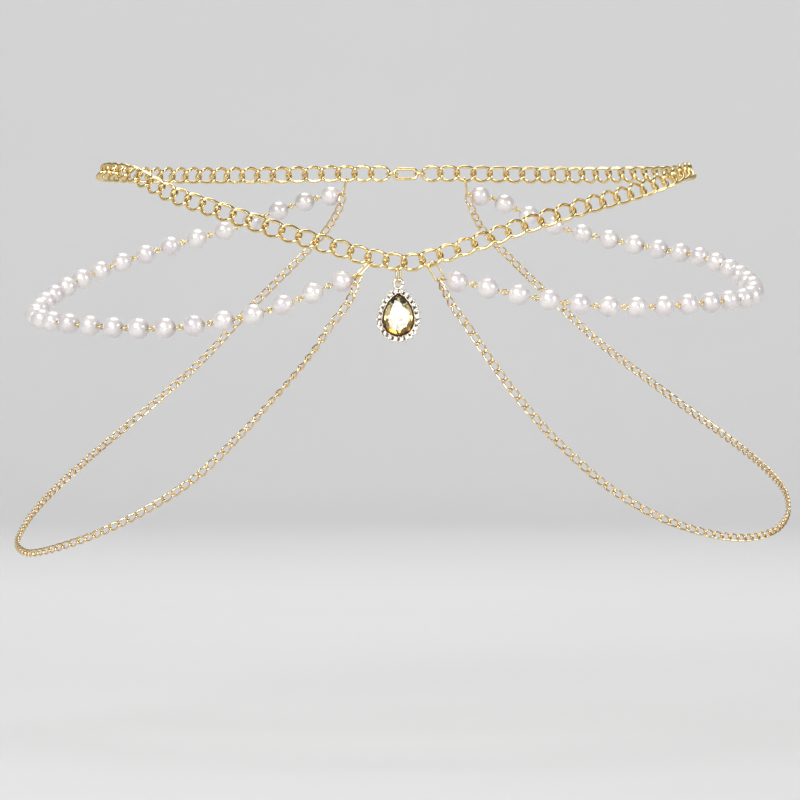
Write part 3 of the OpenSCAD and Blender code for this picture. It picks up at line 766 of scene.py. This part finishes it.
def halo_places(shift, off, z, skip=(), lean=0):
    """Places round the halo with the way outwards in the frame's plane and the way to the front."""
    places = []
    for i in range(HALO_COUNT):
        if i in skip:
            continue
        phi = pear_angle((i + shift) / HALO_COUNT)
        outwards = np.array([math.cos(phi), 0, math.sin(phi)])
        front = unit(FRONT - math.tan(math.radians(lean)) * outwards)
        places.append((in_pendant(*pear_point(phi, off), z), square_to(outwards, front), front))
    return places


def upright(profile, steps, closed=False):
    """A turned piece that stands along Z, so that a place's way to the front is its height."""
    corners, faces = turned(profile, steps, closed)
    return [(z, y, x) for x, y, z in corners], [tuple(reversed(face)) for face in faces]


def claw(r, low, high):
    """Rows of a prong: a straight foot that widens, and a round tip."""
    neck = high - r * 0.9
    rows = [(low, r * 1.15), (low + (high - low) * 0.35, r)]
    return rows + [(neck + r * 0.9 * math.sin(a), r * 0.94 * math.cos(a))
                   for a in np.radians([0, 22, 45, 65, 82])]


setting_gold = plated("Pale gold setting", (0.98, 0.91, 0.76), (0.84, 0.72, 0.52), 0.12, 0.3)
PRONG_FOOT = -0.6 * MM
prong_pattern = pattern("prong_pattern", [upright(claw(PRONG_R, PRONG_FOOT, PRONG_H), 12)])
bead_pattern = pattern("bead_pattern", [upright(claw(BEAD_R, PRONG_FOOT, PRONG_H), 12)])
collet_rows = [(-0.5 * MM, 1.0 * MM), (0.12 * MM, 1.08 * MM), (0.17 * MM, 1.04 * MM),
               (0.12 * MM, 0.98 * MM), (-0.5 * MM, 0.85 * MM)]
collet_pattern = pattern("collet_pattern", [upright(collet_rows, 24, closed=True)])
settings = {"Least Size": 1.0, "Seed": 0, "Finish": setting_gold}
low, high = HALO_GAP + 0.05 * MM, HALO_GAP + HALO_W - 0.3 * MM
channel = [(high, HALO_TOP - 0.12 * MM), (high - 0.12 * MM, HALO_TOP),
           (high - 0.3 * MM, HALO_TOP - 0.08 * MM), (HALO_MID, HALO_TOP - 0.6 * MM),
           (low + 0.3 * MM, HALO_TOP - 0.08 * MM), (low + 0.12 * MM, HALO_TOP),
           (low, HALO_TOP - 0.12 * MM), (low, HALO_BOTTOM + 0.15 * MM),
           (low + 0.15 * MM, HALO_BOTTOM), (high - 0.15 * MM, HALO_BOTTOM),
           (high, HALO_BOTTOM + 0.15 * MM)]
tip_loop = long_loop(in_pendant(0, LOOP_Y, pendant_z), X_WAY, UP, 0, LOOP_R)
collet_places = halo_places(0.5, HALO_MID, HALO_TOP)
prong_places = halo_places(0, HALO_GAP + HALO_W - PRONG_INSET, HALO_TOP, (TIP_PRONG,), PRONG_LEAN)
bead_places = halo_places(0, HALO_GAP + BEAD_R / 2, HALO_TOP)
made = [
    solid("halo_frame", [pear_moulding(channel), bent_wire(tip_loop, Y_WAY, LOOP_WIRE)], setting_gold),
    grown("halo_collets", collet_places, placed, {"Piece": collet_pattern, **settings}),
    grown("outer_prongs", prong_places, placed, {"Piece": prong_pattern, **settings}),
    grown("inner_prongs", bead_places, placed, {"Piece": bead_pattern, **settings})]
for piece in (prong_pattern, bead_pattern, collet_pattern):
    bpy.data.objects.remove(piece)
stands_for(joined("pendant_frame", made), "pendant_setting", "pendant")

# Gallery: the recessed plate and the low wall behind the big stone, and the floor of the halo, all part
# of the same casting.
# Its plating is coloured a near black brown as painted shade, so the gaps round the stones are dark.


def rounded(left, right, bottom, top, r):
    """A four-sided profile with its corners rounded off."""
    profile = []
    for x, z, start in ((right - r, top - r, 0), (left + r, top - r, 90), (left + r, bottom + r, 180),
                        (right - r, bottom + r, 270)):
        for degrees in (0, 30, 60, 90):
            a = math.radians(start + degrees)
            profile.append((x + r * math.cos(a), z + r * math.sin(a)))
    return profile


# Near black brown tones: painted shade in the recess round the stones.
painted_shade_gold = plated("Near black plating as painted shade in the recess", (0.20, 0.12, 0.05), (0.10, 0.06, 0.03), 0.42, 0.2)
plate_rim = HALO_GAP + 0.4 * MM
plate = [(plate_rim, HALO_BOTTOM + 0.25 * MM), (HALO_GAP + 0.1 * MM, HALO_BOTTOM + 0.3 * MM),
         (0, HALO_BOTTOM - 0.1 * MM), (-0.6 * MM, HALO_BOTTOM - 0.1 * MM),
         (-0.6 * MM, HALO_BOTTOM - 0.35 * MM), (-0.45 * MM, HALO_BOTTOM - 0.5 * MM),
         (HALO_GAP + 0.25 * MM, HALO_BOTTOM - 0.5 * MM), (plate_rim, HALO_BOTTOM - 0.35 * MM)]
wall = rounded(-0.62 * MM, -0.25 * MM, HALO_BOTTOM - 0.2 * MM, HALO_BOTTOM + 0.95 * MM, 0.08 * MM)
recess = [(HALO_MID + 0.82 * MM, HALO_TOP - 0.05 * MM), (HALO_MID, HALO_TOP - 0.53 * MM),
          (HALO_MID - 0.82 * MM, HALO_TOP - 0.05 * MM), (HALO_MID - 0.7 * MM, HALO_TOP - 0.3 * MM),
          (HALO_MID, HALO_TOP - 0.75 * MM), (HALO_MID + 0.7 * MM, HALO_TOP - 0.3 * MM)]
gallery = solid("pendant_gallery", [pear_moulding(plate), pear_moulding(wall), pear_moulding(recess)],
                painted_shade_gold)
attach(gallery, "pendant")

# Stones: a pear-shaped champagne crystal with a foiled back, and small clear brilliants round it.
# Both are cut glass with a table, a crown of stars, kites and girdle facets, and a pointed back.
STAR_RISE = 0.58
BACK_FALL = 0.56
BACK_SIZE = 0.52


def cut_stone(corner, table, star, crown, girdle, pavilion):
    """Crown and back of a brilliant. corner gives a place by its share of the round, size and height."""
    star_z = girdle + (crown - girdle) * STAR_RISE
    back_z = -girdle - (pavilion - girdle) * BACK_FALL
    crown_corners = [corner(i / 8, table, crown) for i in range(8)]
    crown_corners += [corner((i + 0.5) / 8, star, star_z) for i in range(8)]
    crown_corners += [corner(i / 16, 1, girdle) for i in range(16)]
    crown_corners += [corner(i / 16, 1, -girdle) for i in range(16)]
    crown_faces = [tuple(range(8))]
    back_corners = [corner(i / 16, 1, -girdle) for i in range(16)]
    back_corners += [corner((i + 0.5) / 8, BACK_SIZE, back_z) for i in range(8)]
    back_corners.append(corner(0, 0, -pavilion))
    back_faces = []
    for i in range(8):
        n = (i + 1) % 8
        kite, past = 8 + i, 8 + n
        here, mid, there = 2 * i, 2 * i + 1, 2 * n
        crown_faces += [(n, i, kite), (kite, 16 + here, 16 + mid), (kite, 16 + mid, 16 + there),
                        (n, kite, 16 + there), (n, 16 + there, past)]
        crown_faces += [(16 + j, 32 + j, 32 + (j + 1) % 16, 16 + (j + 1) % 16) for j in (here, mid)]
        back_faces += [(mid, here, 16 + i), (there, mid, 16 + i)]
        back_faces += [(there, 16 + i, 24), (there, 24, 16 + n)]
    return (crown_corners, crown_faces), (back_corners, back_faces)


def glass(name, colour, rough):
    """Clear cut glass with a trace of polish marks."""
    material, board = finish_board(name)
    marks = noise(board, 0.8 * MM, 3)
    normal = board.node("ShaderNodeBump", None,
                        {"Strength": 0.03, "Distance": 0.02 * MM, "Height": marks})
    skin = board.node("ShaderNodeBsdfPrincipled", None, {
        "Base Color": (*colour, 1), "Roughness": rough + marks * 0.01, "Normal": normal,
        "IOR": 1.56, "Transmission Weight": 1.0})
    board.node("ShaderNodeOutputMaterial", None, {"Surface": skin})
    return material


def foil(name, stops, size, foot=0, height=1, painted_light_fade=0):
    """The mirror foil on the back of a glass stone, in patches of a few tones that can fade upwards by
    height, to paint a reflection onto the foil.
    """
    material, board = finish_board(name)
    place = board.node("ShaderNodeTexCoord", out="Object")
    up = board.node("ShaderNodeSeparateXYZ", None, {0: place}, "Z")
    share = (up - foot) * (1 / height)
    tone = board.node("ShaderNodeValToRGB", {"stops": stops},
                      {"Fac": noise(board, size, 1) * (1 - painted_light_fade) + share * painted_light_fade})
    skin = board.node("ShaderNodeBsdfPrincipled", None, {
        "Base Color": tone, "Metallic": 1.0, "Roughness": 0.06 + noise(board, 0.5 * MM, 2) * 0.08})
    board.node("ShaderNodeOutputMaterial", None, {"Surface": skin})
    return material


def foiled(name, crown, back, crown_glass, back_foil):
    """A cut stone: its crown in glass and its back in foil, with flat facets."""
    stone = faceted(name, [crown, back], crown_glass, back_foil)
    for face in list(stone.data.polygons)[len(crown[1]):]:
        face.material_index = 1
    return stone


CROWN_H = 1.7 * MM
PAVILION_H = 2.9 * MM
GIRDLE = 0.1 * MM
PEAR_TABLE = 0.72
PEAR_STAR = 0.88


def pear_corner(share, size, height):
    x, y = pear_point(pear_angle(share), 0)
    return in_pendant(size * x, size * y, height)


pear_crown, pear_back = cut_stone(pear_corner, PEAR_TABLE, PEAR_STAR, CROWN_H, GIRDLE, PAVILION_H)
amber_glass = glass("Champagne glass", (0.99, 0.93, 0.80), 0.02)
# Champagne foil by height: brown at the foot, amber low, a painted reflection of pale cream-white over
# the middle and upper part, and brown at the tip.
amber_foil_painted_reflection = foil("Champagne foil with painted reflection", [
    (0.12, (0.40, 0.18, 0.03)), (0.26, (0.85, 0.52, 0.12)), (0.42, (0.97, 0.86, 0.55)),
    (0.55, (0.98, 0.95, 0.84)), (0.80, (0.96, 0.90, 0.72)), (0.95, (0.50, 0.26, 0.07))],
    3 * MM, pendant_at[2] - STONE_R, STONE_R + STONE_H, 0.75)
pear_stone = foiled("pear_crystal", pear_crown, pear_back, amber_glass, amber_foil_painted_reflection)
stands_for(pear_stone, "pear_stone", "pendant")

HALO_STONE_R = 1.125 * MM
BRILLIANT_Z = 0.1 * MM
BRILLIANT_TABLE = 0.55
BRILLIANT_STAR = 0.8
BRILLIANT_CROWN = 0.45 * MM
BRILLIANT_GIRDLE = 0.04 * MM
BRILLIANT_BACK = 0.85 * MM
clear_glass = glass("Clear glass", (0.97, 0.97, 0.98), 0.01)
silver_foil = foil("Silver foil", [
    (0.32, (0.26, 0.23, 0.20)), (0.44, (0.82, 0.80, 0.77)), (0.56, (0.98, 0.97, 0.96))], 0.9 * MM)
crowns, backs = [], []
for place, outwards, front in halo_places(0.5, HALO_MID, BRILLIANT_Z):
    sideways = np.cross(front, outwards)

    def round_corner(share, size, height):
        a = share * 2 * math.pi
        spoke = math.cos(a) * outwards + math.sin(a) * sideways
        return place + size * HALO_STONE_R * spoke + height * front

    crown, back = cut_stone(round_corner, BRILLIANT_TABLE, BRILLIANT_STAR, BRILLIANT_CROWN,
                            BRILLIANT_GIRDLE, BRILLIANT_BACK)
    crowns.append(crown)
    backs.append(back)
halo_stones = foiled("halo_brilliants", together(crowns), together(backs), clear_glass, silver_foil)
stands_for(halo_stones, "halo_stones", "pendant")

# Studio: a plain pale floor that curves up into a wall all round, six soft boxes, and a level camera
# in front of the piece, at the photograph's viewing angle.
FLOOR_Z = -0.26
FLOOR_R = 3.4
FLOOR_ROWS = (0.01, 1.0, 2.2, FLOOR_R)
CURVE_R = 1.0
WALL_TOP = 5.0
WALL_STEPS = 72
MIDDLE = (0, 0, -0.08)


def backdrop():
    """A round pale floor that curves up into a wall all round."""
    profile = [(r, FLOOR_Z) for r in FLOOR_ROWS]
    for degrees in range(10, 91, 10):
        a = math.radians(degrees)
        profile.append((FLOOR_R + CURVE_R * math.sin(a), FLOOR_Z + CURVE_R - CURVE_R * math.cos(a)))
    profile.append((FLOOR_R + CURVE_R, WALL_TOP))
    corners, faces = [], []
    for i in range(WALL_STEPS):
        a = 2 * math.pi * i / WALL_STEPS
        corners += [(r * math.sin(a), r * math.cos(a), z) for r, z in profile]
        for j in range(len(profile) - 1):
            here, there = i * len(profile) + j, (i + 1) % WALL_STEPS * len(profile) + j
            faces.append((here, there, there + 1, here + 1))
    faces.append(tuple(i * len(profile) for i in reversed(range(WALL_STEPS))))
    material, board = finish_board("Pale paper")
    tone = board.node("ShaderNodeMix", {"data_type": "RGBA"}, {
        0: noise(board, 0.4, 2), 6: (0.66, 0.66, 0.66, 1), 7: (0.69, 0.69, 0.69, 1)}, 2)
    skin = board.node("ShaderNodeBsdfPrincipled", None, {"Base Color": tone, "Roughness": 0.9})
    board.node("ShaderNodeOutputMaterial", None, {"Surface": skin})
    return solid("studio_floor", [(corners, faces)], material)


backdrop()


def soft_box(name, place, aim, size, power):
    """A square soft box that faces a point."""
    light = bpy.data.lights.new(name, "AREA")
    light.size = size
    light.energy = power
    box = bpy.data.objects.new(name, light)
    scene.collection.objects.link(box)
    box.location = place
    box.rotation_euler = (Vector(aim) - Vector(place)).to_track_quat("-Z", "Y").to_euler()


soft_box("Key box", (-0.9, -1.5, 0.9), MIDDLE, 0.8, 30)
soft_box("Side box", (1.4, -1.0, 0.4), MIDDLE, 0.6, 11)
soft_box("Front box", (0.06, -2.7, -0.02), MIDDLE, 0.32, 5)
soft_box("Top box", (0, 0.4, 1.5), MIDDLE, 1.0, 11)
soft_box("Backdrop box", (0, 1.4, 2.6), (0, 4.4, 0.6), 2.0, 80)
soft_box("Far wall box", (0, -2.4, 2.8), (0, -4.4, 1.2), 2.0, 7)

world = bpy.data.worlds.new("Studio air")
scene.world = world
world.use_nodes = True
air = Board(world.node_tree)
glow = air.node("ShaderNodeBackground", None, {"Color": (1, 1, 1, 1), "Strength": 0.12})
air.node("ShaderNodeOutputWorld", None, {"Surface": glow})

lens = bpy.data.cameras.new("Camera")
lens.sensor_width = 36
lens.lens = 191.7
lens.clip_start = 0.05
lens.clip_end = 60
camera = bpy.data.objects.new("Camera", lens)
scene.collection.objects.link(camera)
camera.location = (0, -2.0, -0.1056)
camera.rotation_euler = (math.pi / 2, 0, 0)
scene.camera = camera
